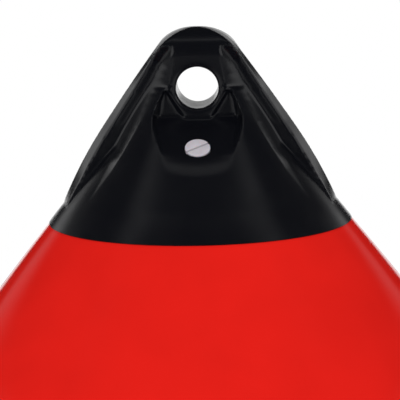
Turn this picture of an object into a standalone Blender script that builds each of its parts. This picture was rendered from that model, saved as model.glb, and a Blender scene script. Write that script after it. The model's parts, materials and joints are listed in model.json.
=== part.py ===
"""Inflatable mooring buoy: a hollow round hull, a moulded rope eye and a screw-in air valve.

Metres, +Z up.  The origin is the centre of the waterline of the buoy as it floats upright.
The front, with the air valve, faces -Y.
"""
import math

import bmesh
import bpy
from mathutils import Matrix, Vector

# ---------------------------------------------------------------- driving dimensions
# Hull: a sphere with a flared neck, blown from soft vinyl.
HULL_RADIUS = 0.1845           # radius of the round part
HULL_DRAUGHT = 0.070           # depth of the lowest point below the waterline
HULL_WALL = 0.003              # thickness of the skin
NECK_TANGENT = math.radians(35.0)  # latitude at which the neck leaves the sphere
NECK_HEIGHT = 0.0793           # from that latitude up to the edge of the cap
NECK_BOW = 0.0007              # how far the neck bulges from a straight cone
NECK_MOUTH = 0.040             # radius of the air opening at the top of the neck

# Cap: the domed foot of the rope eye, moulded over the neck.
CAP_RADIUS = 0.0908            # radius of its lower edge
CAP_HEIGHT = 0.0938            # height at which the dome would close
CAP_BOW = 0.0034               # how far the dome bulges from a straight cone
CAP_EDGE_STEP = 0.0005         # how far the cap stands proud of the neck
CAP_SKIRT = 0.0042             # thickness of the skirt that covers the neck
CAP_SOCKET = 0.0200            # height of the socket that the neck fills
CAP_EDGE_ROUND = 0.0012        # bevel of the cap's lower edge

# Web: the drafted plate whose outline is the buoy's outline above the cap.
CROWN_RADIUS = 0.0305          # round top
CROWN_HEIGHT = 0.1165          # top, above the edge of the cap
CROWN_ROUND = 0.0110           # height of the rounding from the flat faces to the top
WEB_TIP_X = 0.0816             # where the web runs out on the cap
WEB_TIP_Z = 0.0128
WEB_KNEE_X = 0.0579            # where each flank turns more upright
WEB_KNEE_Z = 0.0567
WEB_BOW = 0.0004               # how far each flank bulges above its knee
WEB_FOOT_BOW = 0.0012          # and below it
WEB_DEPTH = 0.0095             # from the mid plane to the flat of the flange

# Shield and eye: the flat boss that the rope bears on.
SHIELD_DEPTH = 0.0195          # from the mid plane to its face
SHIELD_DRAFT = 0.0010          # how far its face is set in from its outline
EYE_RADIUS = 0.0125
EYE_HEIGHT = 0.0818            # centre of the eye, above the edge of the cap
EYE_ROUND = 0.0025             # rounding of its mouths

# Body: the raised middle of the moulding, from the crown down to the cap.
BODY_SET_BACK = 0.0002         # how far its flat lies behind the shield's face
BODY_CHEEK = 1.1               # rise of the side wall's lower band against its width
BODY_EDGE = 0.15               # share of the side wall's width left to its steep upper band
BODY_HOLLOW = 0.0004           # how far its front falls short of a straight cone
BODY_SINK = 0.0010             # how far its side walls run on under the dome

# Valve: a slotted plug and its washer, in a pocket on the front of the body.
VALVE_TILT = math.radians(57.5)    # elevation of the valve's axis
VALVE_OUT = 0.0430             # seat, in front of the mid plane
VALVE_UP = 0.0480              # seat, above the edge of the cap
POCKET_BACK = 0.0140           # depth of the pocket's upright back wall
POCKET_LIP_TOP = 0.0430        # between these heights its floor curves into the body's front
POCKET_LIP_FOOT = 0.0340
CUT_REACH = 0.0900             # how far the cutters of pocket and eye reach from the mid plane
POCKET_DRAFT = 0.0012          # how much narrower its floor is than its mouth
PLUG_HEAD_RADIUS = 0.0075
PLUG_HEAD_HEIGHT = 0.0030
PLUG_HEAD_EDGE = 0.0005        # bevel of its rim and of the shank's end
PLUG_SHANK_RADIUS = 0.0038
PLUG_SHANK_LENGTH = 0.0120
PLUG_SLOT_WIDTH = 0.0020
PLUG_SLOT_DEPTH = 0.0014
PLUG_SLOT_TURN = math.radians(30.0)
WASHER_HEIGHT = 0.0012
WASHER_LIP = 0.0007            # how far the plug's head reaches past it
SEAT_DEPTH = 0.0020            # counterbore that holds the washer
BORE_DEPTH = 0.0450            # how far the bore's cutter reaches behind the seat
BORE_REACH = 0.0200            # and in front of it

FIT_GAP = 0.0003               # between pieces that touch
RUN_GAP = 0.0004               # round the plug and its washer

ROUND_STEPS = 72               # facets round the hull and the cap
SMALL_STEPS = 32               # facets round the eye and the valve

# ---------------------------------------------------------------- derived places
HULL_CENTRE_Z = HULL_RADIUS - HULL_DRAUGHT
NECK_FOOT_Z = HULL_CENTRE_Z + HULL_RADIUS * math.sin(NECK_TANGENT)
NECK_FOOT_RADIUS = HULL_RADIUS * math.cos(NECK_TANGENT)
CAP_EDGE_Z = NECK_FOOT_Z + NECK_HEIGHT
CAP_SLOPE = math.atan2(CAP_RADIUS, CAP_HEIGHT)
EYE_Z = CAP_EDGE_Z + EYE_HEIGHT
VALVE_AXIS = Vector((0.0, -math.cos(VALVE_TILT), math.sin(VALVE_TILT)))
VALVE_SEAT = Vector((0.0, -VALVE_OUT, CAP_EDGE_Z + VALVE_UP))
VALVE_FRAME = Matrix.Translation(VALVE_SEAT) @ VALVE_AXIS.to_track_quat("Z", "Y").to_matrix().to_4x4()

# Web, from its tips to its crown.
# height: above the edge of the cap; inset: of the flat from the outline; depth: of the flat
WEB_ROWS = (
    # height,  inset,   depth
    (0.0000, 0.0020, WEB_DEPTH + 0.0105),
    (0.0128, 0.0020, WEB_DEPTH + 0.0095),
    (0.0250, 0.0022, WEB_DEPTH + 0.0050),
    (0.0400, 0.0028, WEB_DEPTH + 0.0015),
    (0.0600, 0.0033, WEB_DEPTH),
    (0.0770, 0.0028, WEB_DEPTH + 0.0005),
    (0.0870, 0.0022, WEB_DEPTH + 0.0010),
    (0.0970, 0.0016, WEB_DEPTH + 0.0020),
    (0.1020, 0.0012, WEB_DEPTH + 0.0045),
    (0.1075, 0.0008, SHIELD_DEPTH - BODY_SET_BACK),
)
# Side walls of the raised body, from the cap to the crown.
# height: above the edge of the cap; foot: half width where the wall meets the web or the dome;
# edge: half width at the wall's front edge
BODY_ROWS = (
    # height,  foot,    edge
    (0.0115, 0.0702, 0.0693),
    (0.0158, 0.0679, 0.0669),
    (0.0278, 0.0614, 0.0599),
    (0.0429, 0.0530, 0.0497),
    (0.0611, 0.0440, 0.0375),
    (0.0765, 0.0363, 0.0268),
    (0.0806, 0.0345, 0.0195),
    (0.0923, 0.0288, 0.0162),
    (0.1023, 0.0232, 0.0147),
    (0.1056, 0.0195, 0.0141),
)
BODY_FOOT = BODY_ROWS[1]       # where the body's front leaves the dome
BODY_CORNER = BODY_ROWS[6]     # at the shield's corners, where its front turns flat
# Shield, one side, from its point to its top.
# height: above the edge of the cap; half: half width
SHIELD_ROWS = (
    # height,  half
    (0.0629, 0.0070),
    (0.0801, 0.0190),
    (0.0923, 0.0160),
    (0.1023, 0.0145),
    (0.1060, 0.0140),
)
# Pocket, from its foot on the body's front to its top under the shield's corners.
# height: above the edge of the cap; half: half width
POCKET_ROWS = (
    # height,  half
    (0.0300, 0.0170),
    (0.0400, 0.0200),
    (0.0459, 0.0212),
    (0.0549, 0.0233),
    (0.0655, 0.0244),
    (0.0763, 0.0223),
    (0.0808, 0.0194),
)


# ---------------------------------------------------------------- helpers
def clear_scene():
    """Remove every object, so that the file starts empty."""
    for item in list(bpy.data.objects):
        bpy.data.objects.remove(item, do_unlink=True)


def new_collection(name):
    """Make a collection and link it to the scene."""
    group = bpy.data.collections.new(name)
    bpy.context.scene.collection.children.link(group)
    return group


def material(name, colour, roughness, metallic=0.0):
    """Make a plain Principled material."""
    made = bpy.data.materials.new(name)
    made.use_nodes = True
    shader = made.node_tree.nodes["Principled BSDF"]
    shader.inputs["Base Color"].default_value = (*colour, 1.0)
    shader.inputs["Roughness"].default_value = roughness
    shader.inputs["Metallic"].default_value = metallic
    return made


def link_mesh(name, bm, group):
    """Turn a bmesh into an object in the given collection."""
    mesh = bpy.data.meshes.new(name)
    bm.to_mesh(mesh)
    bm.free()
    item = bpy.data.objects.new(name, mesh)
    group.objects.link(item)
    return item


def bow_arc(start, end, bow, steps):
    """Points of a shallow arc from start to end that bulges by bow to the left of its way."""
    start, end = Vector(start), Vector(end)
    along = end - start
    side = Vector((-along.y, along.x)).normalized()
    points = []
    for i in range(steps + 1):
        t = i / steps
        points.append(start + along * t + side * (4.0 * bow * t * (1.0 - t)))
    return points


def circle_arc(centre, radius, start, end, steps):
    """Points of a circular arc between two angles."""
    angles = [start + (end - start) * i / steps for i in range(steps + 1)]
    return [Vector((centre[0] + radius * math.cos(a), centre[1] + radius * math.sin(a))) for a in angles]


def turned(name, profile, group, steps=ROUND_STEPS):
    """Turn a profile of (radius, height) points, listed down its outer side, about Z."""
    bm = bmesh.new()
    points = [bm.verts.new((r, 0.0, z)) for r, z in profile]
    for a, b in zip(points, points[1:]):
        bm.edges.new((a, b))
    item = link_mesh(name, bm, group)
    screw = item.modifiers.new("turn", "SCREW")
    screw.steps = steps
    screw.render_steps = steps
    screw.use_merge_vertices = True
    screw.merge_threshold = 0.00001
    screw.use_smooth_shade = True
    return item


def block(name, size, centre, group, frame=Matrix.Identity(4)):
    """A box of the given size about a centre in the given frame."""
    bm = bmesh.new()
    bmesh.ops.create_cube(bm, size=1.0, matrix=frame @ Matrix.Translation(centre) @ Matrix.Diagonal((*size, 1.0)))
    return link_mesh(name, bm, group)


def as_cutter(item):
    """Hide a cutter from the render and show it as wire."""
    item.hide_render = True
    item.display_type = "WIRE"
    return item


def boolean(target, other, operation):
    """Join, cut or trim the target with a cutter."""
    step = target.modifiers.new(other.name, "BOOLEAN")
    step.operation = operation
    step.object = as_cutter(other)


def shade(item, finish):
    """Give a piece its material and smooth shading."""
    item.data.materials.append(finish)
    item.data.shade_smooth()
    item.data.set_sharp_from_angle(angle=math.radians(30.0))
    return item


# ---------------------------------------------------------------- profiles
def from_rows(rows, height, column):
    """Read one column of a table at any height, straight between its rows."""
    for low, high in zip(rows, rows[1:]):
        if height <= high[0]:
            break
    share = (height - low[0]) / (high[0] - low[0])
    return low[column] + (high[column] - low[column]) * min(max(share, 0.0), 1.0)


def dome_radius(height):
    """Radius of the dome at a height above the edge of the cap."""
    share = height / CAP_HEIGHT
    normal_run = 4.0 * CAP_BOW * share * (1.0 - share)
    return CAP_RADIUS * (1.0 - share) + normal_run / math.cos(CAP_SLOPE)


def dome_points(inset, low, high, steps=12):
    """The dome's outer line between two heights, set in along its slope, from the top down."""
    shift = inset / math.cos(CAP_SLOPE)
    heights = [high + (low - high) * i / steps for i in range(steps + 1)]
    return [Vector((max(dome_radius(h) - shift, 0.0), h)) for h in heights]


def body_radius(height):
    """Radius of the raised body's front, a shallow arc from the shield's corners to the cap."""
    foot = (dome_radius(BODY_FOOT[0]), BODY_FOOT[0])
    top = (math.hypot(BODY_CORNER[2], SHIELD_DEPTH), BODY_CORNER[0])
    share = (height - foot[1]) / (top[1] - foot[1])
    hollow = 4.0 * BODY_HOLLOW * share * (1.0 - share) / math.cos(CAP_SLOPE)
    return foot[0] + (top[0] - foot[0]) * share - hollow


def pocket_floor(height):
    """Depth of the pocket's floor: upright under the shield, then square to the valve, then
    curved over its lip until it runs with the body's front."""
    floor = VALVE_OUT + (VALVE_UP - height) * math.tan(VALVE_TILT)
    past = max(POCKET_LIP_TOP - height, 0.0)
    turn = (math.tan(VALVE_TILT) - math.tan(CAP_SLOPE)) / (POCKET_LIP_TOP - POCKET_LIP_FOOT)
    return max(floor - turn * past * past / 2.0, POCKET_BACK)


def on_cap(points):
    """Lift profile points from the edge of the cap to their place on the buoy."""
    return [(p[0], p[1] + CAP_EDGE_Z) for p in points]


# ---------------------------------------------------------------- hull
def neck_outline():
    """Outer line of the skin from the mouth down to the sphere."""
    seat = dome_points(CAP_SKIRT + FIT_GAP, -FIT_GAP, CAP_SOCKET - FIT_GAP, 3)
    mouth = Vector((NECK_MOUTH, seat[0].y))
    flank_top = (CAP_RADIUS - CAP_EDGE_STEP, -FIT_GAP)
    flank_foot = (NECK_FOOT_RADIUS, -NECK_HEIGHT)
    return [mouth] + seat + bow_arc(flank_top, flank_foot, NECK_BOW, 3)


def make_hull(group, finish):
    """The blown skin: sphere, flared neck and the shoulder under the cap."""
    ball = circle_arc((0.0, HULL_CENTRE_Z), HULL_RADIUS, NECK_TANGENT, -math.pi / 2.0, 18)
    ball[-1].x = 0.0
    skin = on_cap(neck_outline())[:-1] + [tuple(p) for p in ball]
    hull = turned("hull_skin", skin, group)
    wall = hull.modifiers.new("skin", "SOLIDIFY")
    wall.thickness = HULL_WALL
    wall.offset = -1.0
    wall.use_even_offset = True
    return shade(hull, finish)


# ---------------------------------------------------------------- rope eye
def web_side():
    """One side of the web's outline, from its root under the dome up to the crown."""
    centre = CROWN_HEIGHT - CROWN_RADIUS
    lean = math.radians(36.0)
    crown = circle_arc((0.0, centre), CROWN_RADIUS, lean, math.radians(86.0), 10)
    knee = (WEB_KNEE_X, WEB_KNEE_Z)
    shin = bow_arc((WEB_TIP_X, WEB_TIP_Z), knee, -WEB_FOOT_BOW, 5)[:-1]
    flank = bow_arc(knee, crown[0], -WEB_BOW, 4)[:-1]
    return [Vector((WEB_TIP_X - 0.006, WEB_TIP_Z - 0.006))] + shin + flank + crown


def web_section(half, height):
    """One level section of the web: drafted sides about a flat front and back."""
    inset = from_rows(WEB_ROWS, height, 1)
    depth = from_rows(WEB_ROWS, height, 2)
    over = max(height - (CROWN_HEIGHT - CROWN_ROUND), 0.0) / CROWN_ROUND
    depth *= math.sqrt(1.0 - over * over)
    level = height + CAP_EDGE_Z
    flat = half - inset
    return [(half, 0.0, level), (flat, -depth, level), (-flat, -depth, level),
            (-half, 0.0, level), (-flat, depth, level), (flat, depth, level)]


def body_section(height, columns=12):
    """One level section of the raised body: side walls, and a front that is flat at the crown
    and rounded about the buoy's axis below it."""
    level = height + CAP_EDGE_Z
    foot = from_rows(BODY_ROWS, height, 1)
    edge = from_rows(BODY_ROWS, height, 2)
    flat = SHIELD_DEPTH - BODY_SET_BACK
    radius = body_radius(height) if height < BODY_CORNER[0] else 0.0
    under = math.sqrt(max(dome_radius(height) ** 2 - foot ** 2, 0.0)) - BODY_SINK
    sunk = max(WEB_DEPTH - BODY_SINK, under)
    rim = max(flat, math.sqrt(max(radius ** 2 - edge ** 2, 0.0)))
    bend = edge + (foot - edge) * BODY_EDGE
    rise = min(sunk + BODY_SINK + (foot - bend) * BODY_CHEEK, sunk + (rim - sunk) * (1.0 - BODY_EDGE))
    front = [(bend, -rise, level)]
    for i in range(columns + 1):
        x = edge * (1.0 - 2.0 * i / columns)
        depth = max(flat, math.sqrt(max(radius ** 2 - x * x, 0.0)))
        front.append((x, -depth, level))
    front.append((-bend, -rise, level))
    back = [(x, -y, level) for x, y, _ in reversed(front)]
    return [(foot, -sunk, level)] + front + [(-foot, -sunk, level), (-foot, sunk, level)] \
        + back + [(foot, sunk, level)]


def pocket_section(height):
    """One level section of the pocket's cutter."""
    level = height + CAP_EDGE_Z
    mouth = from_rows(POCKET_ROWS, height, 1)
    floor = pocket_floor(height)
    return [(mouth - POCKET_DRAFT, -floor, level), (mouth + POCKET_DRAFT, -CUT_REACH, level),
            (-mouth - POCKET_DRAFT, -CUT_REACH, level), (POCKET_DRAFT - mouth, -floor, level)]


def lofted(name, sections, group):
    """Join level sections of equal point counts into one closed body."""
    bm = bmesh.new()
    rings = [[bm.verts.new(p) for p in section] for section in sections]
    for low, high in zip(rings, rings[1:]):
        for i in range(len(low)):
            j = (i + 1) % len(low)
            bm.faces.new((low[j], low[i], high[i], high[j]))
    bm.faces.new(rings[0])
    bm.faces.new(list(reversed(rings[-1])))
    bmesh.ops.recalc_face_normals(bm, faces=bm.faces)
    return link_mesh(name, bm, group)


def make_shield(group):
    """The flat boss round the eye: an outline pushed out from the mid plane with draft."""
    right = [(half, height) for height, half in SHIELD_ROWS]
    outline = right + [(-x, z) for x, z in reversed(right)]
    bm = bmesh.new()
    face = bm.faces.new([bm.verts.new((x, 0.0, z + CAP_EDGE_Z)) for x, z in outline])
    face.normal_update()
    if face.normal.y > 0.0:
        bmesh.ops.reverse_faces(bm, faces=[face])
    bmesh.ops.inset_region(bm, faces=[face], thickness=SHIELD_DRAFT, depth=SHIELD_DEPTH,
                           use_boundary=True, use_even_offset=True)
    shield = link_mesh("shield_add", bm, group)
    mirror = shield.modifiers.new("back", "MIRROR")
    mirror.use_axis = (False, True, False)
    mirror.merge_threshold = 0.00001
    return shield


def make_eye_cutter(group):
    """Cutter of the eye: a round bore through the shield with rounded mouths."""
    mouth = SHIELD_DEPTH - EYE_ROUND
    flare = circle_arc((EYE_RADIUS + EYE_ROUND, mouth), EYE_ROUND, math.pi / 2.0, math.pi, 4)
    clear = Vector((EYE_RADIUS + EYE_ROUND, CUT_REACH))
    upper = [Vector((0.0, clear.y)), clear] + flare
    lower = [Vector((p.x, -p.y)) for p in reversed(upper)]
    cutter = turned("eye_cut", upper + lower, group, SMALL_STEPS)
    cutter.matrix_world = Matrix.Translation((0.0, 0.0, EYE_Z)) @ Matrix.Rotation(math.pi / 2.0, 4, "X")
    return cutter


def make_bore_cutter(group):
    """Cutter of the valve's bore and of the counterbore that holds its washer."""
    bore = PLUG_SHANK_RADIUS + RUN_GAP
    seat = PLUG_HEAD_RADIUS + 2.0 * RUN_GAP
    profile = [(0.0, BORE_REACH), (seat, BORE_REACH), (seat, -SEAT_DEPTH), (bore, -SEAT_DEPTH),
               (bore, -BORE_DEPTH), (0.0, -BORE_DEPTH)]
    cutter = turned("bore_cut", profile, group, SMALL_STEPS)
    cutter.matrix_world = VALVE_FRAME
    return cutter


def make_head(group, cutters, finish):
    """The moulded rope eye: domed cap, web, raised body, shield, eye, pocket and bore."""
    dome = dome_points(0.0, CAP_EDGE_ROUND, CAP_HEIGHT)
    under = [Vector((CAP_RADIUS - CAP_EDGE_ROUND, 0.0)), Vector((0.0, 0.0))]
    head = turned("rope_eye", on_cap(dome + under), group)
    web = [web_section(p.x, p.y) for p in web_side()]
    boolean(head, lofted("web_add", web, cutters), "UNION")
    heights = [row[0] for row in BODY_ROWS] + [0.035, 0.052, 0.069]
    body = [body_section(h) for h in sorted(heights)]
    boolean(head, lofted("body_add", body, cutters), "UNION")
    corner = VALVE_UP + (VALVE_OUT - POCKET_BACK) / math.tan(VALVE_TILT)
    levels = [row[0] for row in POCKET_ROWS] + [0.034, 0.037, 0.042, corner]
    pocket = [pocket_section(h) for h in sorted(levels)]
    boolean(head, lofted("pocket_cut", pocket, cutters), "DIFFERENCE")
    twin = [[(-x, -y, z) for x, y, z in section] for section in pocket]
    boolean(head, lofted("back_pocket_cut", twin, cutters), "DIFFERENCE")
    boolean(head, make_shield(cutters), "UNION")
    boolean(head, make_eye_cutter(cutters), "DIFFERENCE")
    socket = dome_points(CAP_SKIRT, -CAP_EDGE_ROUND, CAP_SOCKET, 3)
    profile = [Vector((0.0, CAP_SOCKET))] + socket + [Vector((0.0, -CAP_EDGE_ROUND))]
    boolean(head, turned("socket_cut", on_cap(profile), cutters), "DIFFERENCE")
    boolean(head, make_bore_cutter(cutters), "DIFFERENCE")
    return shade(head, finish)


# ---------------------------------------------------------------- valve
def make_washer(group, finish):
    """The soft washer at the bottom of the seat; its origin is on the valve's axis."""
    low = -SEAT_DEPTH + FIT_GAP
    high = low + WASHER_HEIGHT
    inner = PLUG_SHANK_RADIUS + RUN_GAP
    outer = PLUG_HEAD_RADIUS - WASHER_LIP
    ring = [(inner, high), (outer, high), (outer, low), (inner, low), (inner, high)]
    washer = turned("valve_washer", ring, group, SMALL_STEPS)
    washer.matrix_world = VALVE_FRAME
    return shade(washer, finish)


def make_plug(group, cutters, finish):
    """The slotted plug: a round head on a plain shank; its origin is on the valve's axis."""
    low = -SEAT_DEPTH + 2.0 * FIT_GAP + WASHER_HEIGHT
    top = low + PLUG_HEAD_HEIGHT
    edge = PLUG_HEAD_EDGE
    profile = [(0.0, top), (PLUG_HEAD_RADIUS - edge, top), (PLUG_HEAD_RADIUS, top - edge),
               (PLUG_HEAD_RADIUS, low), (PLUG_SHANK_RADIUS, low),
               (PLUG_SHANK_RADIUS, low - PLUG_SHANK_LENGTH + edge),
               (PLUG_SHANK_RADIUS - edge, low - PLUG_SHANK_LENGTH), (0.0, low - PLUG_SHANK_LENGTH)]
    plug = turned("valve_plug", profile, group, SMALL_STEPS)
    plug.matrix_world = VALVE_FRAME
    turn = VALVE_FRAME @ Matrix.Rotation(PLUG_SLOT_TURN, 4, "Z")
    size = (2.2 * PLUG_HEAD_RADIUS, PLUG_SLOT_WIDTH, 2.0 * PLUG_SLOT_DEPTH)
    boolean(plug, block("slot_cut", size, (0.0, 0.0, top), cutters, turn), "DIFFERENCE")
    return shade(plug, finish)


def main():
    """Build the whole buoy."""
    clear_scene()
    parts = new_collection("mooring_buoy")
    cutters = new_collection("cutters")
    red = material("red_vinyl", (0.745, 0.014, 0.010), 0.25)
    black = material("black_vinyl", (0.010, 0.010, 0.012), 0.20)
    white = material("white_nylon", (0.62, 0.60, 0.62), 0.35)
    rubber = material("black_rubber", (0.015, 0.015, 0.015), 0.60)
    make_hull(parts, red)
    make_head(parts, cutters, black)
    make_washer(parts, rubber)
    make_plug(parts, cutters, white)


main()
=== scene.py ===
"""Inflatable mooring buoy: its finishes, its detailed pieces and a plain studio.

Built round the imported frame, in metres and in the frame's own axes: +Z is up and the front,
with the air valve, faces -Y.
"""
import json
import math

import bmesh
import bpy
from bpy.props import FloatProperty, FloatVectorProperty, IntProperty, PointerProperty
from mathutils import Matrix, Vector


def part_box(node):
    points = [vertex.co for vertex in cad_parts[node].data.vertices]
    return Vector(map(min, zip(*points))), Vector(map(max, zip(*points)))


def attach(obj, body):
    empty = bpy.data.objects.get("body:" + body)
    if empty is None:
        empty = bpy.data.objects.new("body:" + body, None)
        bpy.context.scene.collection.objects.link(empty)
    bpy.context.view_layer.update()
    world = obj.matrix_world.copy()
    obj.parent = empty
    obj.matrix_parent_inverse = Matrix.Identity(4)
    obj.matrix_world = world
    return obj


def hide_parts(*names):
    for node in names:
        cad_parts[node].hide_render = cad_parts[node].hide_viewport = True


bl_info = {
    "name": "Mooring Buoy",
    "version": (1, 0, 0),
    "blender": (4, 5, 0),
    "location": "View3D > Sidebar > Buoy",
    "description": "Builds an inflatable mooring buoy with a moulded rope eye, and a studio",
    "category": "Add Mesh",
}

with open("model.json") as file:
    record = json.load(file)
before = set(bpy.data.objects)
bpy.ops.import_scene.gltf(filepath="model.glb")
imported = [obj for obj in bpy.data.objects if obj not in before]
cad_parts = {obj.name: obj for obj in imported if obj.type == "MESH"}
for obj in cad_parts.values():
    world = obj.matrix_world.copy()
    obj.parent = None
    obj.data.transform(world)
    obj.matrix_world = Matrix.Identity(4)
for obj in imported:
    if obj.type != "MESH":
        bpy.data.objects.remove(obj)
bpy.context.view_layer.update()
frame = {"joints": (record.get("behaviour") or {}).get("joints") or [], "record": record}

# ---------------------------------------------------------------- sizes taken from the frame
MM = 0.001
HULL_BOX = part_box("hull_skin")
EYE_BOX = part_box("rope_eye")
BALL_RADIUS = (HULL_BOX[1][0] - HULL_BOX[0][0]) / 2.0
BALL_CENTRE = HULL_BOX[0][2] + BALL_RADIUS
CAP_EDGE = EYE_BOX[0][2]       # height of the cap's lower edge
CROWN_TOP = EYE_BOX[1][2] - CAP_EDGE
JOINTS = {joint["name"]: joint for joint in frame["joints"]}
VALVE_SEAT = Vector(JOINTS["valve_turn"]["pos_m"])
VALVE_AXIS = Vector(JOINTS["valve_turn"]["axis"])
VALVE_TURN = VALVE_AXIS.to_track_quat("Z", "Y").to_matrix().to_4x4()
VALVE_FRAME = Matrix.Translation(VALVE_SEAT) @ VALVE_TURN
OPENING = frame["record"]["physics"]["openings"][0]["box_m"]
BORE_HEIGHT = (OPENING[0][2] + OPENING[1][2]) / 2.0 - CAP_EDGE

# ---------------------------------------------------------------- form of the rope eye, in mm
# Web, from its tips to its crown: drafted sides about a flat front and back.
# height: above the edge of the cap; inset: of the flat from the outline; depth: of the flat
WEB_ROWS = (
    # height, inset, depth
    (0.0, 2.0, 20.0),
    (12.8, 2.4, 19.0),
    (25.0, 4.2, 14.5),
    (40.0, 4.8, 11.0),
    (60.0, 4.8, 9.5),
    (77.0, 4.0, 10.0),
    (87.0, 2.8, 10.5),
    (97.0, 1.6, 11.5),
    (102.0, 1.2, 14.0),
    (107.5, 0.8, 19.3),
)
# Side walls of the raised body, from the cap to the crown.
# foot: half width where the wall meets the web or the dome; edge: half width at its front edge
BODY_ROWS = (
    # height, foot, edge
    (11.5, 70.5, 69.5),
    (16.0, 68.0, 66.5),
    (35.0, 56.5, 51.5),
    (77.0, 33.0, 24.5),
    (82.0, 30.5, 18.0),
    (105.0, 19.5, 14.0),
    (110.5, 15.5, 12.5),
)
BODY_FOOT = BODY_ROWS[1]           # where the body's front leaves the dome
BODY_CORNER = BODY_ROWS[4]         # at the shield's corners, where its front turns flat
BODY_LEVELS = 61                   # even steps up the body, beside the rows' own heights
# Shield, the flat round the eye, from its point up to its corners.
SHIELD_ROWS = (
    # height, half width
    (54.0, 1.0),
    (80.5, 18.0),
)
# Valve pocket, from where it runs out on the body's front to its top at the shield's corners.
# side: how steeply its side walls rise, out for each step across; lip: over which it rounds off
POCKET_ROWS = (
    # height, half width, side, lip
    (28.0, 17.0, 0.2, 8.0),
    (38.0, 17.5, 0.4, 8.0),
    (45.0, 19.0, 1.2, 6.0),
    (48.0, 20.5, 2.0, 3.0),
    (52.0, 21.5, 3.0, 2.0),
    (63.0, 23.5, 3.0, 2.0),
    (75.0, 21.5, 3.0, 2.0),
    (81.0, 19.0, 5.0, 2.0),
)
POCKET_LEVELS = 60                 # even steps up the pocket, beside the rows' own heights


# ---------------------------------------------------------------- sizes and colours a user may change
def length(name, default, description):
    """A size in metres."""
    return FloatProperty(name=name, default=default, min=0.0, unit="LENGTH", subtype="DISTANCE",
                         precision=4, description=description)


def angle(name, degrees, description):
    """An angle."""
    return FloatProperty(name=name, default=math.radians(degrees), subtype="ANGLE", description=description)


def amount(name, default, description):
    """A plain number of one or more."""
    return IntProperty(name=name, default=default, min=1, description=description)


def power(name, default, description):
    """The strength of a light."""
    return FloatProperty(name=name, default=default, min=0.0, description=description)


def linear(code):
    """The linear red, green and blue of an sRGB hex colour."""
    parts = [int(code[i:i + 2], 16) / 255.0 for i in (0, 2, 4)]
    return [p / 12.92 if p <= 0.04045 else ((p + 0.055) / 1.055) ** 2.4 for p in parts]


def colour(name, code, description):
    """A colour, given as sRGB hex."""
    return FloatVectorProperty(name=name, default=linear(code), subtype="COLOR", size=3,
                               min=0.0, max=1.0, description=description)


class HullSizes(bpy.types.PropertyGroup):
    """Blown hull: a ball with a flared neck."""

    radius: length("Ball radius", BALL_RADIUS, "Radius of the round part")
    wall: length("Wall", 3.0 * MM, "Thickness of the skin")
    tangent: angle("Neck angle", 35.0, "Latitude at which the neck leaves the ball")
    neck_radius: length("Neck radius", 90.3 * MM, "Radius of the neck at the edge of the cap")
    bow: length("Neck bow", 0.7 * MM, "How far the neck bulges from a straight cone")
    around: amount("Faces around", 256, "Faces round the hull")
    along: amount("Faces along", 120, "Faces from the bottom to the mouth")
    red: colour("Vinyl", "E01F18", "Colour of the hull")


class RopeEyeSizes(bpy.types.PropertyGroup):
    """Moulded rope eye: cap, web, body, shield, eye and valve pocket."""

    cap_radius: length("Cap radius", 90.8 * MM, "Radius of the cap's lower edge")
    cap_height: length("Cap height", 93.8 * MM, "Height at which the dome would close")
    cap_bow: length("Cap bow", 3.4 * MM, "How far the dome bulges from a straight cone")
    skirt: length("Skirt", 4.2 * MM, "Thickness of the skirt over the neck")
    socket: length("Socket", 20.0 * MM, "Height of the socket that the neck fills")
    crown_radius: length("Crown radius", 30.5 * MM, "Radius of the round top")
    tip_x: length("Web reach", 81.6 * MM, "Half width of the web where it runs out on the cap")
    tip_z: length("Web foot", 12.8 * MM, "Height at which the web runs out on the cap")
    knee_x: length("Knee reach", 57.9 * MM, "Half width of the web where its flank turns more upright")
    knee_z: length("Knee", 56.7 * MM, "Height at which the flank turns more upright")
    web_bow: length("Upper bow", 0.4 * MM, "How far each flank bulges above its knee")
    foot_bow: length("Lower bow", 1.2 * MM, "How far each flank bulges below its knee")
    shield_depth: length("Shield depth", 19.5 * MM, "From the mid plane to the shield's face")
    bore_radius: length("Eye radius", 12.5 * MM, "Radius of the hole for the rope")
    bore_round: length("Eye rounding", 2.5 * MM, "Rounding of the hole's mouths")
    voxel: length("Grain of the mesh", 0.92 * MM, "Spacing of the points on the moulding")
    softening: amount("Softening", 8, "Rounds of smoothing that give the moulded corners their radius")
    black: colour("Vinyl", "0B0C11", "Colour of the moulding")


class ValveSizes(bpy.types.PropertyGroup):
    """Screw-in air valve: slotted plug, thread and washer."""

    head_radius: length("Head radius", 7.5 * MM, "Radius of the plug's head")
    head_height: length("Head height", 3.0 * MM, "Height of the plug's head")
    head_edge: length("Head rounding", 0.6 * MM, "Rounding of the head's rim")
    core_radius: length("Core radius", 3.4 * MM, "Radius of the shank under its thread")
    crest_radius: length("Crest radius", 3.95 * MM, "Radius of the thread's crests")
    shank: length("Shank", 12.0 * MM, "Length of the shank")
    pitch: length("Pitch", 2.4 * MM, "Rise of the thread in one turn")
    slot_width: length("Slot width", 1.5 * MM, "Width of the slot")
    slot_depth: length("Slot depth", 1.8 * MM, "Depth of the slot")
    slot_turn: angle("Slot turn", 30.0, "Turn of the slot about the valve's axis")
    washer_height: length("Washer height", 1.2 * MM, "Thickness of the washer")
    washer_radius: length("Washer radius", 6.8 * MM, "Outer radius of the washer")
    clearance: length("Clearance", 0.4 * MM, "Free run of the plug in its bore")
    sunk: length("Counterbore", 2.0 * MM, "Depth of the counterbore round the washer")
    white: colour("Nylon", "C6C1C8", "Colour of the plug")


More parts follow.
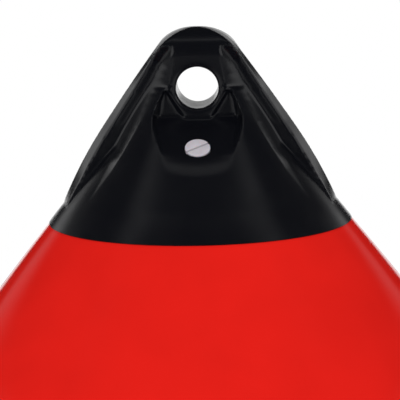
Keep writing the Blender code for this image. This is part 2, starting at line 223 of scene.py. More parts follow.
class StudioSizes(bpy.types.PropertyGroup):
    """Camera, lights and floor."""

    distance: length("Camera distance", 2.184, "From the buoy's axis to the camera")
    rise: length("Camera rise", 0.372, "Height of the camera above the cap's edge")
    aim: length("Aim", 11.6 * MM, "Height of the point looked at above the cap's edge")
    azimuth: angle("Azimuth", 1.0, "Turn of the camera towards +X")
    roll: angle("Roll", -1.2, "Turn of the camera about its line of sight")
    lens: FloatProperty(name="Lens", default=332.0, description="Focal length in millimetres")
    key: power("Front light", 23.0, "Power of the broad light at the camera, in watts")
    left: power("Left window", 0.8, "Brightness of the window at the left, where 1 is white")
    right: power("Right window", 0.8, "Brightness of the window at the right")
    arch: power("Top window", 0.3, "Brightness of the long window overhead")
    dusk: power("Dusk", 0.01, "Brightness of the dim rest of the room, as gloss shows it")
    fill: power("Fill", 0.68, "Brightness of the even light from all round")


# ---------------------------------------------------------------- helpers
def node(tree, kind, links=None, **settings):
    """Add a node. links maps each input, by name or number, to a socket or a plain value."""
    item = tree.nodes.new(kind)
    for name, value in settings.items():
        setattr(item, name, value)
    for key, value in (links or {}).items():
        socket = item.inputs[key]
        if isinstance(value, bpy.types.NodeSocket):
            tree.links.new(value, socket)
        else:
            socket.default_value = value
    return item


def maths(tree, operation, *values):
    """Reckon with values or sockets, and give back the result's socket."""
    return node(tree, "ShaderNodeMath", dict(enumerate(values)), operation=operation).outputs[0]


def link_mesh(name, bm):
    """Turn a bmesh into a linked object."""
    mesh = bpy.data.meshes.new(name)
    bm.to_mesh(mesh)
    bm.free()
    item = bpy.data.objects.new(name, mesh)
    bpy.context.collection.objects.link(item)
    return item


def arc(centre, radius, start, end, steps):
    """Points on a circle in the (across, up) plane, angles from +across."""
    angles = [start + (end - start) * i / steps for i in range(steps + 1)]
    return [Vector((centre[0] + radius * math.cos(a), centre[1] + radius * math.sin(a))) for a in angles]


def bowed(start, end, bow, steps):
    """Points from start to end on a shallow arc that bulges to the right of the way along."""
    start, end = Vector(start), Vector(end)
    run = end - start
    side = Vector((run.y, -run.x)).normalized()
    shares = [i / steps for i in range(steps + 1)]
    return [start + run * s + side * (4.0 * bow * s * (1.0 - s)) for s in shares]


def rounded(corners, steps=5):
    """A profile from (across, up, radius) corners, each rounded with its radius."""
    points = []
    for i, (x, z, radius) in enumerate(corners):
        here = Vector((x, z))
        if radius == 0.0:
            points.append(here)
            continue
        back = (Vector(corners[i - 1][:2]) - here).normalized()
        on = (Vector(corners[i + 1][:2]) - here).normalized()
        half = back.angle(on) / 2.0
        reach = radius / math.tan(half)
        centre = here + (back + on).normalized() * (radius / math.sin(half))
        first = here + back * reach - centre
        last = here + on * reach - centre
        turn = first.angle_signed(last)
        for k in range(steps + 1):
            points.append(centre + Matrix.Rotation(-turn * k / steps, 2) @ first)
    return points


def turned(name, profile, steps):
    """Turn a closed profile about +Z into a solid; points on the axis close its ends."""
    bm = bmesh.new()
    verts = [bm.verts.new((p[0], 0.0, p[1])) for p in profile]
    edges = [bm.edges.new(pair) for pair in zip(verts, verts[1:])]
    bmesh.ops.spin(bm, geom=verts + edges, cent=(0, 0, 0), axis=(0, 0, 1), angle=math.tau,
                   steps=steps, use_merge=True)
    bmesh.ops.remove_doubles(bm, verts=bm.verts, dist=0.001 * MM)
    bmesh.ops.recalc_face_normals(bm, faces=bm.faces)
    return link_mesh(name, bm)


def lofted(name, sections):
    """Join level sections of equal point counts into one closed solid."""
    bm = bmesh.new()
    rings = [[bm.verts.new(p) for p in section] for section in sections]
    for low, high in zip(rings, rings[1:]):
        for i in range(len(low)):
            j = (i + 1) % len(low)
            bm.faces.new((low[j], low[i], high[i], high[j]))
    bm.faces.new(rings[0])
    bm.faces.new(list(reversed(rings[-1])))
    bmesh.ops.recalc_face_normals(bm, faces=bm.faces)
    return link_mesh(name, bm)


def combine(target, other, operation):
    """Join another solid to the target, or cut it away."""
    step = target.modifiers.new(other.name, "BOOLEAN")
    step.operation = operation
    step.solver = "EXACT"
    step.object = other
    other.hide_render = True


def finished(source, name, paint, sharp, body, node_name, scratch=()):
    """Freeze a modelled piece as a plain mesh in place of its node, and drop what made it."""
    evaluated = source.evaluated_get(bpy.context.evaluated_depsgraph_get())
    mesh = bpy.data.meshes.new_from_object(evaluated)
    mesh.name = name
    mesh.transform(source.matrix_world)
    for item in (source, *scratch):
        bpy.data.objects.remove(item)
    mesh.materials.clear()
    mesh.materials.append(paint)
    mesh.shade_smooth()
    mesh.set_sharp_from_angle(angle=sharp)
    piece = bpy.data.objects.new(name, mesh)
    bpy.context.scene.collection.objects.link(piece)
    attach(piece, body)
    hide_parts(node_name)
    return piece


def from_rows(rows, height, column):
    """Read one column of a table at any height, straight between its rows, in metres."""
    for low, high in zip(rows, rows[1:]):
        if height <= high[0] * MM:
            break
    share = (height / MM - low[0]) / (high[0] - low[0])
    return (low[column] + (high[column] - low[column]) * min(max(share, 0.0), 1.0)) * MM


# ---------------------------------------------------------------- finishes
def finish_tree(name):
    """An empty material tree with its output and shader."""
    paint = bpy.data.materials.new(name)
    paint.use_nodes = True
    tree = paint.node_tree
    tree.nodes.clear()
    shader = node(tree, "ShaderNodeBsdfPrincipled")
    node(tree, "ShaderNodeOutputMaterial", {"Surface": shader.outputs["BSDF"]})
    place = node(tree, "ShaderNodeTexCoord").outputs["Object"]
    return paint, tree, shader, place


def blown_vinyl(red):
    """Plasticised PVC, blown and cooled in a polished mould.

    It has an even colour with faint clouds where the wall is thicker, a broad soft gloss, and a
    skin that is never quite flat: long shallow waves and a fine orange peel.
    """
    paint, tree, shader, place = finish_tree("blown_red_vinyl")
    clouds = node(tree, "ShaderNodeTexNoise", {"Vector": place, "Scale": 1.0 / (45.0 * MM), "Detail": 2.0})
    tone = node(tree, "ShaderNodeMapRange", {"Value": clouds.outputs["Fac"], "From Min": 0.3, "From Max": 0.7,
                                             "To Min": 0.95, "To Max": 1.03})
    base = node(tree, "ShaderNodeVectorMath", {0: tuple(red), "Scale": tone.outputs["Result"]},
                operation="SCALE")
    tree.links.new(base.outputs["Vector"], shader.inputs["Base Color"])
    gloss = node(tree, "ShaderNodeMapRange", {"Value": clouds.outputs["Fac"], "From Min": 0.3,
                                              "From Max": 0.7, "To Min": 0.10, "To Max": 0.14})
    tree.links.new(gloss.outputs["Result"], shader.inputs["Roughness"])
    peel = node(tree, "ShaderNodeTexNoise", {"Vector": place, "Scale": 1.0 / (1.6 * MM), "Detail": 2.0})
    waves = node(tree, "ShaderNodeTexNoise", {"Vector": place, "Scale": 1.0 / (30.0 * MM), "Detail": 1.0})
    wavy = node(tree, "ShaderNodeBump", {"Height": waves.outputs["Fac"], "Strength": 0.12,
                                         "Distance": 1.0 * MM})
    skin = node(tree, "ShaderNodeBump", {"Height": peel.outputs["Fac"], "Strength": 0.12,
                                         "Distance": 0.15 * MM, "Normal": wavy.outputs["Normal"]})
    tree.links.new(skin.outputs["Normal"], shader.inputs["Normal"])
    # the vinyl alone is 1.53: a dry bloom on the skin dulls its gloss, most of all at a slant
    shader.inputs["IOR"].default_value = 1.20
    shader.inputs["Specular IOR Level"].default_value = 0.1
    return paint


def moulded_vinyl(black):
    """Harder PVC, cast in an open-seamed mould: near black, glossy, with soft flow marks."""
    paint, tree, shader, place = finish_tree("moulded_black_vinyl")
    shader.inputs["Base Color"].default_value = (*black, 1.0)
    flow = node(tree, "ShaderNodeTexNoise", {"Vector": place, "Scale": 1.0 / (14.0 * MM), "Detail": 3.0})
    gloss = node(tree, "ShaderNodeMapRange", {"Value": flow.outputs["Fac"], "From Min": 0.3, "From Max": 0.7,
                                              "To Min": 0.20, "To Max": 0.26})
    tree.links.new(gloss.outputs["Result"], shader.inputs["Roughness"])
    grain = node(tree, "ShaderNodeTexNoise", {"Vector": place, "Scale": 1.0 / (1.2 * MM), "Detail": 2.0})
    soft = node(tree, "ShaderNodeBump", {"Height": flow.outputs["Fac"], "Strength": 0.06,
                                         "Distance": 0.6 * MM})
    skin = node(tree, "ShaderNodeBump", {"Height": grain.outputs["Fac"], "Strength": 0.12,
                                         "Distance": 0.08 * MM, "Normal": soft.outputs["Normal"]})
    tree.links.new(skin.outputs["Normal"], shader.inputs["Normal"])
    shader.inputs["IOR"].default_value = 1.54
    return paint


def moulded_nylon(white):
    """Nylon, injection moulded: greyish white, satin, a little light passing under its skin."""
    paint, tree, shader, place = finish_tree("moulded_white_nylon")
    cloud = node(tree, "ShaderNodeTexNoise", {"Vector": place, "Scale": 1.0 / (4.0 * MM), "Detail": 2.0})
    tone = node(tree, "ShaderNodeMapRange", {"Value": cloud.outputs["Fac"], "From Min": 0.3, "From Max": 0.7,
                                             "To Min": 0.94, "To Max": 1.02})
    base = node(tree, "ShaderNodeVectorMath", {0: tuple(white), "Scale": tone.outputs["Result"]},
                operation="SCALE")
    tree.links.new(base.outputs["Vector"], shader.inputs["Base Color"])
    grain = node(tree, "ShaderNodeTexNoise", {"Vector": place, "Scale": 1.0 / (0.5 * MM), "Detail": 2.0})
    skin = node(tree, "ShaderNodeBump", {"Height": grain.outputs["Fac"], "Strength": 0.15,
                                         "Distance": 0.05 * MM})
    tree.links.new(skin.outputs["Normal"], shader.inputs["Normal"])
    shader.inputs["Roughness"].default_value = 0.42
    shader.inputs["IOR"].default_value = 1.53
    shader.inputs["Subsurface Weight"].default_value = 0.15
    shader.inputs["Subsurface Scale"].default_value = 0.8 * MM
    return paint


def sealing_rubber():
    """Nitrile rubber, cut from a moulded sheet: black and matt with a fine cloth-like grain."""
    paint, tree, shader, place = finish_tree("sealing_rubber")
    shader.inputs["Base Color"].default_value = (*linear("1A1A1A"), 1.0)
    grain = node(tree, "ShaderNodeTexNoise", {"Vector": place, "Scale": 1.0 / (0.3 * MM), "Detail": 2.0})
    skin = node(tree, "ShaderNodeBump", {"Height": grain.outputs["Fac"], "Strength": 0.3,
                                         "Distance": 0.05 * MM})
    tree.links.new(skin.outputs["Normal"], shader.inputs["Normal"])
    shader.inputs["Roughness"].default_value = 0.62
    shader.inputs["IOR"].default_value = 1.52
    return paint


# ---------------------------------------------------------------- hull
GAP = 0.3 * MM                 # between pieces that touch


def dome_radius(eye, height):
    """Radius of the cap's dome at a height above its edge."""
    slope = math.atan2(eye.cap_radius, eye.cap_height)
    share = height / eye.cap_height
    bulge = 4.0 * eye.cap_bow * share * (1.0 - share) / math.cos(slope)
    return eye.cap_radius * (1.0 - share) + bulge


def dome_line(eye, inset, low, high, steps):
    """The dome's line between two heights, set in along its slope."""
    shift = inset / math.cos(math.atan2(eye.cap_radius, eye.cap_height))
    heights = [low + (high - low) * i / steps for i in range(steps + 1)]
    return [Vector((max(dome_radius(eye, h) - shift, 0.0), h)) for h in heights]


def hull_tree(legs):
    """Geometry Nodes: a grid wrapped into a ball, then led along each leg of the neck.

    Each leg is a move of the profile, out and up, made over its own share of the grid's rows.
    """
    tree = bpy.data.node_groups.new("blown_hull", "GeometryNodeTree")
    tree.interface.new_socket(name="Geometry", in_out="OUTPUT", socket_type="NodeSocketGeometry")
    kinds = {"Ball Radius": "Float", "Ball Centre": "Float", "Neck Angle": "Float", "Neck Bow": "Float",
             "Faces Around": "Int", "Faces Along": "Int", "Skin": "Material"}
    kinds.update({leg[0]: "Vector" for leg in legs})
    for name, kind in kinds.items():
        tree.interface.new_socket(name=name, in_out="INPUT", socket_type="NodeSocket" + kind)
    given = node(tree, "NodeGroupInput").outputs
    columns = maths(tree, "ADD", given["Faces Around"], 1.0)
    rows = maths(tree, "ADD", given["Faces Along"], 1.0)
    grid = node(tree, "GeometryNodeMeshGrid", {"Size X": 1.0, "Size Y": 1.0, "Vertices X": columns,
                                               "Vertices Y": rows})
    spot = node(tree, "ShaderNodeSeparateXYZ", {0: node(tree, "GeometryNodeInputPosition").outputs[0]})
    way = maths(tree, "ADD", spot.outputs["Y"], 0.5)
    latitude = node(tree, "ShaderNodeMapRange", {"Value": way, "From Max": legs[0][1],
                                                 "To Min": -math.pi / 2.0, "To Max": given["Neck Angle"]})
    flat = node(tree, "ShaderNodeCombineXYZ", {"X": given["Ball Radius"]})
    climb = maths(tree, "MULTIPLY", latitude.outputs[0], -1.0)
    profile = node(tree, "ShaderNodeVectorRotate", {"Vector": flat.outputs[0], "Angle": climb},
                   rotation_type="Y_AXIS").outputs[0]
    for name, start, end in legs:
        share = node(tree, "ShaderNodeMapRange", {"Value": way, "From Min": start, "From Max": end})
        move = node(tree, "ShaderNodeVectorMath", {0: given[name], "Scale": share.outputs[0]},
                    operation="SCALE")
        profile = node(tree, "ShaderNodeVectorMath", {0: profile, 1: move.outputs[0]}).outputs[0]
    _, start, end = legs[0]
    share = node(tree, "ShaderNodeMapRange", {"Value": way, "From Min": start, "From Max": end}).outputs[0]
    rest = maths(tree, "SUBTRACT", 1.0, share)
    hump = maths(tree, "MULTIPLY", share, rest)
    bulge = maths(tree, "MULTIPLY", hump, given["Neck Bow"])
    across = node(tree, "ShaderNodeVectorMath", {0: given[legs[0][0]]}, operation="NORMALIZE").outputs[0]
    side = node(tree, "ShaderNodeVectorMath", {0: across, 1: (0.0, 1.0, 0.0)},
                operation="CROSS_PRODUCT").outputs[0]
    bow = node(tree, "ShaderNodeVectorMath", {0: side, "Scale": bulge}, operation="SCALE").outputs[0]
    profile = node(tree, "ShaderNodeVectorMath", {0: profile, 1: bow}, operation="SUBTRACT").outputs[0]
    round_angle = maths(tree, "MULTIPLY", spot.outputs["X"], math.tau)
    wrapped = node(tree, "ShaderNodeVectorRotate", {"Vector": profile, "Angle": round_angle},
                   rotation_type="Z_AXIS").outputs[0]
    lift = node(tree, "ShaderNodeCombineXYZ", {"Z": given["Ball Centre"]}).outputs[0]
    skin = node(tree, "GeometryNodeSetPosition", {"Geometry": grid.outputs["Mesh"], "Position": wrapped,
                                                  "Offset": lift})
    welded = node(tree, "GeometryNodeMergeByDistance", {"Geometry": skin.outputs[0], "Distance": 0.01 * MM})
    real = node(tree, "GeometryNodeRealizeInstances", {"Geometry": welded.outputs[0]})
    painted = node(tree, "GeometryNodeSetMaterial", {"Geometry": real.outputs[0], "Material": given["Skin"]})
    node(tree, "NodeGroupOutput", {"Geometry": painted.outputs[0]})
    return tree


def fill_inputs(item, tree, values):
    """Give a Geometry Nodes modifier its tree and its named sizes."""
    step = item.modifiers.new(tree.name, "NODES")
    step.node_group = tree
    for socket in tree.interface.items_tree:
        if socket.in_out == "INPUT":
            step[socket.identifier] = values[socket.name]
    return step


class BUOY_OT_hull(bpy.types.Operator):
    """Build the blown hull: one closed skin from its lowest point to the mouth under the cap"""

    bl_idname = "buoy.hull"
    bl_label = "Hull"

    def execute(self, context):
        hull, eye = context.scene.buoy_hull, context.scene.buoy_eye
        paint = blown_vinyl(hull.red)
        foot = Vector((math.cos(hull.tangent), math.sin(hull.tangent))) * hull.radius
        edge = Vector((hull.neck_radius, CAP_EDGE - BALL_CENTRE - GAP))
        line = dome_line(eye, eye.skirt + GAP, -GAP, eye.socket - GAP, 1)
        seat = [p + Vector((0.0, CAP_EDGE - BALL_CENTRE)) for p in line]
        mouth = Vector((40.0 * MM, seat[1].y))
        stops = (foot, edge, seat[0], seat[1], mouth)
        legs = (("Flank", 0.60, 0.80), ("Ledge", 0.80, 0.85), ("Seat", 0.85, 0.95), ("Mouth", 0.95, 1.0))
        values = {"Ball Radius": hull.radius, "Ball Centre": BALL_CENTRE, "Neck Angle": hull.tangent,
                  "Neck Bow": 4.0 * hull.bow, "Faces Around": hull.around, "Faces Along": hull.along,
                  "Skin": paint}
        for leg, here, there in zip(legs, stops, stops[1:]):
            values[leg[0]] = (there.x - here.x, 0.0, there.y - here.y)
        source = link_mesh("hull_source", bmesh.new())
        fill_inputs(source, hull_tree(legs), values)
        wall = source.modifiers.new("wall", "SOLIDIFY")
        wall.thickness = hull.wall
        wall.offset = -1.0
        finished(source, "blown_hull", paint, math.radians(35.0), "root", "hull_skin")
        return {"FINISHED"}


# ---------------------------------------------------------------- rope eye
CROWN_CLOSE = math.radians(86.0)   # where the crown's arc gives way to its flat top
CROWN_LEAN = math.radians(36.0)    # where the flank of the web meets the crown's arc
CROWN_ROUND = 16.0 * MM            # height over which the crown's faces roll to its top
BODY_HOLLOW = 0.4 * MM             # how far the body's front falls short of a straight cone
WEB_DEPTH = 9.5 * MM               # from the mid plane to the web's flat, at its least
CUT_REACH = 90.0 * MM              # how far from the mid plane the cutters reach
BORE_RADIUS = 4.2 * MM             # of the seat's bore and the washer's hole
POCKET_BACK = 17.0 * MM            # depth of the pocket's upright back wall
POCKET_MARGIN = 3.0 * MM           # how far its cutter reaches past its side walls
POCKET_FOOT = 68.0 * MM            # height at which its floor meets the shield's face
POCKET_LEAN = 0.2                  # how much more than the valve's seat its floor leans out
SHIELD_SIDE = 3.0                  # how steeply the shield's edges drop into the pocket
SHIELD_FOOT = 2.0 * MM             # over which its foot flows into the pocket's floor


def web_side(eye):
    """One side of the web's outline, from its root under the dome up to the crown."""
    centre = (0.0, CROWN_TOP - eye.crown_radius * math.sin(CROWN_CLOSE))
    crown = arc(centre, eye.crown_radius, CROWN_LEAN, CROWN_CLOSE, 30)
    knee = (eye.knee_x, eye.knee_z)
    shin = bowed((eye.tip_x, eye.tip_z), knee, eye.foot_bow, 24)[:-1]
    flank = bowed(knee, crown[0], eye.web_bow, 24)[:-1]
    root = Vector((eye.tip_x - 6.0 * MM, eye.tip_z - 6.0 * MM))
    return [root] + shin + flank + crown


def crown_roll(height):
    """Share of the full depth that is left where the faces roll over the crown."""
    over = max(height - (CROWN_TOP - CROWN_ROUND), 0.0) / CROWN_ROUND
    return math.sqrt(max(1.0 - over * over, 0.012))


def web_section(half, height):
    """One level section of the web."""
    flat = half - from_rows(WEB_ROWS, height, 1)
    depth = from_rows(WEB_ROWS, height, 2)
    depth *= crown_roll(height)
    return [(half, 0.0, height), (flat, -depth, height), (-flat, -depth, height),
            (-half, 0.0, height), (-flat, depth, height), (flat, depth, height)]


def body_radius(eye, height):
    """Radius of the body's front, from the cap up to the corners of the shield."""
    foot = (dome_radius(eye, BODY_FOOT[0] * MM), BODY_FOOT[0] * MM)
    top = (math.hypot(eye.shield_depth, eye.shield_depth), BODY_CORNER[0] * MM)
    share = (height - foot[1]) / (top[1] - foot[1])
    slope = math.atan2(eye.cap_radius, eye.cap_height)
    hollow = 4.0 * BODY_HOLLOW * share * (1.0 - share) / math.cos(slope)
    return foot[0] + (top[0] - foot[0]) * share - hollow


def body_section(eye, height, columns=48):
    """One level section of the raised body: side walls, and a front that is flat at the crown
    and rounded about the buoy's axis below it."""
    foot = from_rows(BODY_ROWS, height, 1)
    edge = from_rows(BODY_ROWS, height, 2)
    flat = eye.shield_depth * crown_roll(height)
    radius = body_radius(eye, height) if height < BODY_CORNER[0] * MM else 0.0
    under = math.sqrt(max(dome_radius(eye, height) ** 2 - foot ** 2, 0.0)) - MM
    sunk = max(WEB_DEPTH - MM, under)
    front = []
    for i in range(columns + 1):
        x = edge * (1.0 - 2.0 * i / columns)
        front.append((x, -max(flat, math.sqrt(max(radius ** 2 - x * x, 0.0))), height))
    back = [(x, -y, z) for x, y, z in reversed(front)]
    return [(foot, -sunk, height)] + front + [(-foot, -sunk, height), (-foot, sunk, height)] + back \
        + [(foot, sunk, height)]


def blend(a, b, reach):
    """The lesser of two depths, rounded over where they differ by less than the reach."""
    near = max(reach - abs(a - b), 0.0)
    return min(a, b) - near * near / (4.0 * reach)


def pocket_depth(eye, x, height):
    """Depth of the pocket's skin from the mid plane. Its floor is upright beside the shield, then
    square to the valve, and rolls over a long lip into the body's front."""
    radius = body_radius(eye, height) if height < BODY_CORNER[0] * MM else 0.0
    front = max(eye.shield_depth, math.sqrt(max(radius ** 2 - x * x, 0.0)))
    slope = -VALVE_AXIS.z / VALVE_AXIS.y
    sill = -VALVE_SEAT.y + (VALVE_SEAT.z - CAP_EDGE - height) * slope
    sill += max(POCKET_FOOT - height, 0.0) * POCKET_LEAN
    drop = max(abs(x) - from_rows(SHIELD_ROWS, height, 1), 0.0) * SHIELD_SIDE
    floor = max(-blend(-sill, -eye.shield_depth, SHIELD_FOOT) - drop, sill, POCKET_BACK)
    wall = max(abs(x) - from_rows(POCKET_ROWS, height, 1), 0.0) * from_rows(POCKET_ROWS, height, 2) / MM
    return blend(floor + wall, front, from_rows(POCKET_ROWS, height, 3)) + 0.05 * MM


def pocket_section(eye, height, columns=64):
    """One level section of the pocket's cutter."""
    half = from_rows(POCKET_ROWS, height, 1) + POCKET_MARGIN
    across = [half * (1.0 - 2.0 * i / columns) for i in range(columns + 1)]
    skin = [(x, -pocket_depth(eye, x, height), height) for x in across]
    return skin + [(-half, -CUT_REACH, height), (half, -CUT_REACH, height)]


def make_eye_cutter(eye):
    """A round bore with rounded mouths."""
    mouth = eye.bore_radius + eye.bore_round
    flare = arc((mouth, eye.shield_depth - eye.bore_round), eye.bore_round, math.pi / 2.0, math.pi, 8)
    upper = [Vector((0.0, CUT_REACH)), Vector((mouth, CUT_REACH))] + flare
    lower = [Vector((p.x, -p.y)) for p in reversed(upper)]
    cutter = turned("eye_cut", upper + lower, 128)
    cutter.matrix_world = Matrix.Translation((0.0, 0.0, BORE_HEIGHT)) @ Matrix.Rotation(math.pi / 2.0, 4, "X")
    return cutter


def spread(low, high, steps):
    """Evenly spaced heights from low to high."""
    return [low + (high - low) * i / steps for i in range(steps + 1)]


class BUOY_OT_rope_eye(bpy.types.Operator):
    """Mould the rope eye: join its solid forms, soften every corner, then cut the crisp seats"""

    bl_idname = "buoy.rope_eye"
    bl_label = "Rope eye"

    def execute(self, context):
        eye, valve = context.scene.buoy_eye, context.scene.buoy_valve
        spare = -4.0 * MM
        dome = dome_line(eye, 0.0, spare, eye.cap_height, 48)
        source = turned("eye_source", [Vector((0.0, spare))] + dome, 360)
        rows = [row[0] * MM for row in BODY_ROWS]
        levels = sorted(rows + spread(rows[1], rows[-1], BODY_LEVELS)[1:-1])
        rows = [row[0] * MM for row in POCKET_ROWS]
        steps = sorted(rows + spread(rows[0], rows[-1], POCKET_LEVELS)[1:-1])
        pocket = [pocket_section(eye, h) for h in steps]
        twin = [[(-x, -y, z) for x, y, z in section] for section in pocket]
        forms = [(lofted("web", [web_section(p.x, p.y) for p in web_side(eye)]), "UNION"),
                 (lofted("body", [body_section(eye, h) for h in levels]), "UNION"),
                 (lofted("valve_pocket", pocket), "DIFFERENCE"),
                 (lofted("back_pocket", twin), "DIFFERENCE"),
                 (make_eye_cutter(eye), "DIFFERENCE")]
        for other, operation in forms:
            combine(source, other, operation)
        grain = source.modifiers.new("grain", "REMESH")
        grain.mode = "VOXEL"
        grain.voxel_size = eye.voxel
        soft = source.modifiers.new("soft", "SMOOTH")
        soft.factor = 0.5
        soft.iterations = eye.softening
        cuts = self.crisp_cuts(eye, valve, 2.0 * spare)
        for other, operation in cuts:
            combine(source, other, operation)
        source.location.z = CAP_EDGE
        others = [other for other, _ in forms + cuts]
        for other in others:
            other.matrix_world = Matrix.Translation((0.0, 0.0, CAP_EDGE)) @ other.matrix_world
        context.view_layer.update()
        finished(source, "moulded_rope_eye", moulded_vinyl(eye.black), math.radians(42.0), "root",
                 "rope_eye", others)
        return {"FINISHED"}

    def crisp_cuts(self, eye, valve, low):
        """The socket for the neck with the cap's flat foot, and the valve's bore and counterbore."""
        wide = 2.0 * eye.cap_radius
        socket = [Vector((0.0, eye.socket))] + dome_line(eye, eye.skirt, eye.socket, 0.0, 12)
        socket += [Vector((wide, 0.0)), Vector((wide, low)), Vector((0.0, low))]
        place = Matrix.Translation((0.0, 0.0, -CAP_EDGE)) @ VALVE_FRAME
        wide = valve.head_radius + 2.0 * valve.clearance
        profile = [(0.0, 20.0 * MM), (wide, 20.0 * MM), (wide, -valve.sunk), (BORE_RADIUS, -valve.sunk),
                   (BORE_RADIUS, -CUT_REACH / 2.0), (0.0, -CUT_REACH / 2.0)]
        bore = turned("bore_cut", profile, 96)
        bore.matrix_world = place
        return [(turned("socket_cut", socket, 180), "DIFFERENCE"), (bore, "DIFFERENCE")]


# ---------------------------------------------------------------- valve
THREAD_START = 0.9 * MM            # from the head's underside down to the first turn
THREAD_SPARE = 2.2 * MM            # of the shank's length, left without a turn


def thread_tree():
    """Geometry Nodes: a round ridge wound down the shank and joined to the plug."""
    tree = bpy.data.node_groups.new("thread", "GeometryNodeTree")
    tree.interface.new_socket(name="Geometry", in_out="INPUT", socket_type="NodeSocketGeometry")
    tree.interface.new_socket(name="Geometry", in_out="OUTPUT", socket_type="NodeSocketGeometry")
    for name in ("Core Radius", "Ridge", "Length", "Pitch", "Top"):
        tree.interface.new_socket(name=name, in_out="INPUT", socket_type="NodeSocketFloat")
    tree.interface.new_socket(name="Plastic", in_out="INPUT", socket_type="NodeSocketMaterial")
    given = node(tree, "NodeGroupInput").outputs
    turns = maths(tree, "DIVIDE", given["Length"], given["Pitch"])
    coil = node(tree, "GeometryNodeCurveSpiral", {"Resolution": 48, "Rotations": turns,
                                                  "Start Radius": given["Core Radius"],
                                                  "End Radius": given["Core Radius"],
                                                  "Height": given["Length"]})
    ridge = node(tree, "GeometryNodeCurvePrimitiveCircle", {"Resolution": 10, "Radius": given["Ridge"]})
    tube = node(tree, "GeometryNodeCurveToMesh", {"Curve": coil.outputs[0], "Profile Curve": ridge.outputs[0],
                                                  "Fill Caps": True})
    down = maths(tree, "SUBTRACT", given["Top"], given["Length"])
    lift = node(tree, "ShaderNodeCombineXYZ", {"Z": down}).outputs[0]
    placed = node(tree, "GeometryNodeSetPosition", {"Geometry": tube.outputs[0], "Offset": lift})
    both = node(tree, "GeometryNodeJoinGeometry", {"Geometry": placed.outputs[0]})
    tree.links.new(given["Geometry"], both.inputs[0])
    real = node(tree, "GeometryNodeRealizeInstances", {"Geometry": both.outputs[0]})
    painted = node(tree, "GeometryNodeSetMaterial", {"Geometry": real.outputs[0],
                                                     "Material": given["Plastic"]})
    node(tree, "NodeGroupOutput", {"Geometry": painted.outputs[0]})
    return tree


def washer_foot(valve):
    """Height of the washer's underside along the valve's axis."""
    return GAP - valve.sunk


class BUOY_OT_plug(bpy.types.Operator):
    """Turn the valve's plug, cut its slot and wind its thread"""

    bl_idname = "buoy.plug"
    bl_label = "Valve plug"

    def execute(self, context):
        valve = context.scene.buoy_valve
        paint = moulded_nylon(valve.white)
        low = washer_foot(valve) + valve.washer_height + GAP
        top = low + valve.head_height
        end = low - valve.shank
        corners = [(0.0, top, 0.0), (valve.head_radius, top, valve.head_edge),
                   (valve.head_radius, low, 0.2 * MM), (valve.core_radius, low, 0.2 * MM),
                   (valve.core_radius, end, 0.8 * MM), (0.0, end, 0.0)]
        source = turned("plug_source", rounded(corners), 96)
        bm = bmesh.new()
        size = (2.4 * valve.head_radius, valve.slot_width, 2.0 * valve.slot_depth)
        bmesh.ops.create_cube(bm, size=1.0, matrix=Matrix.Diagonal((*size, 1.0)))
        slot = link_mesh("slot_cut", bm)
        slot.matrix_world = Matrix.Translation((0.0, 0.0, top)) @ Matrix.Rotation(valve.slot_turn, 4, "Z")
        combine(source, slot, "DIFFERENCE")
        edge = source.modifiers.new("edge", "BEVEL")
        edge.width = 0.2 * MM
        edge.segments = 3
        edge.limit_method = "ANGLE"
        edge.angle_limit = math.radians(50.0)
        fill_inputs(source, thread_tree(), {"Geometry": None, "Core Radius": valve.core_radius,
                                            "Ridge": valve.crest_radius - valve.core_radius,
                                            "Length": valve.shank - THREAD_SPARE, "Pitch": valve.pitch,
                                            "Top": low - THREAD_START, "Plastic": paint})
        for item in (source, slot):
            item.matrix_world = VALVE_FRAME @ item.matrix_world
        context.view_layer.update()
        finished(source, "slotted_plug", paint, math.radians(40.0), "plug", "valve_plug",
                 [slot])
        return {"FINISHED"}


class BUOY_OT_washer(bpy.types.Operator):
    """Cut the valve's soft washer"""

    bl_idname = "buoy.washer"
    bl_label = "Washer"

    def execute(self, context):
        valve = context.scene.buoy_valve
        low = washer_foot(valve)
        high = low + valve.washer_height
        inner = BORE_RADIUS
        edge = 0.3 * MM
        corners = [(inner, (low + high) / 2.0, 0.0), (inner, high, edge), (valve.washer_radius, high, edge),
                   (valve.washer_radius, low, edge), (inner, low, edge), (inner, (low + high) / 2.0, 0.0)]
        source = turned("washer_source", rounded(corners), 96)
        source.matrix_world = VALVE_FRAME
        context.view_layer.update()
        finished(source, "sealing_washer", sealing_rubber(), math.radians(50.0), "washer",
                 "valve_washer")
        return {"FINISHED"}


# ---------------------------------------------------------------- studio
# Where each light patch in the room starts and is full, by a look direction's parts.
WINDOW_SIDE = (0.40, 0.55)
WINDOW_LOW, WINDOW_HIGH = (0.10, 0.20), (0.55, 0.47)
WINDOW_FRONT, WINDOW_BACK = (-0.85, -0.70), (0.93, 0.85)
WINDOW_SLANT, WINDOW_TOP = 0.42, (0.64, 0.58)      # its upper edge falls towards the back
ARCH_SIDE, ARCH_LOW = (0.98, 0.88), (0.3, 0.5)
ARCH_FRONT, ARCH_BACK = (-0.28, -0.18), (0.02, -0.08)
BACKDROP = (0.97, 0.998)
FLOOR_RADIUS = 14.0
FLOOR_FADE = (0.4, 1.0)            # distances over which the floor fades to white
FLOOR_BEHIND = (1.0, 3.0)
FLOOR_ASIDE, FLOOR_GLOW = (0.2, 0.4), 0.4          # how the floor's sides show in gloss
KEY_SIZE = (1.4, 1.0)
KEY_PLACE = (0.0, -2.4, CAP_EDGE + 0.5)


def ramp(tree, value, start, end):
    """A smooth rise from 0 to 1 as a value passes from start to end, or a fall if end is lower."""
    low, high = min(start, end), max(start, end)
    return node(tree, "ShaderNodeMapRange", {"Value": value, "From Min": low, "From Max": high,
                                             "To Min": float(end < start), "To Max": float(end > start)},
                interpolation_type="SMOOTHSTEP").outputs[0]


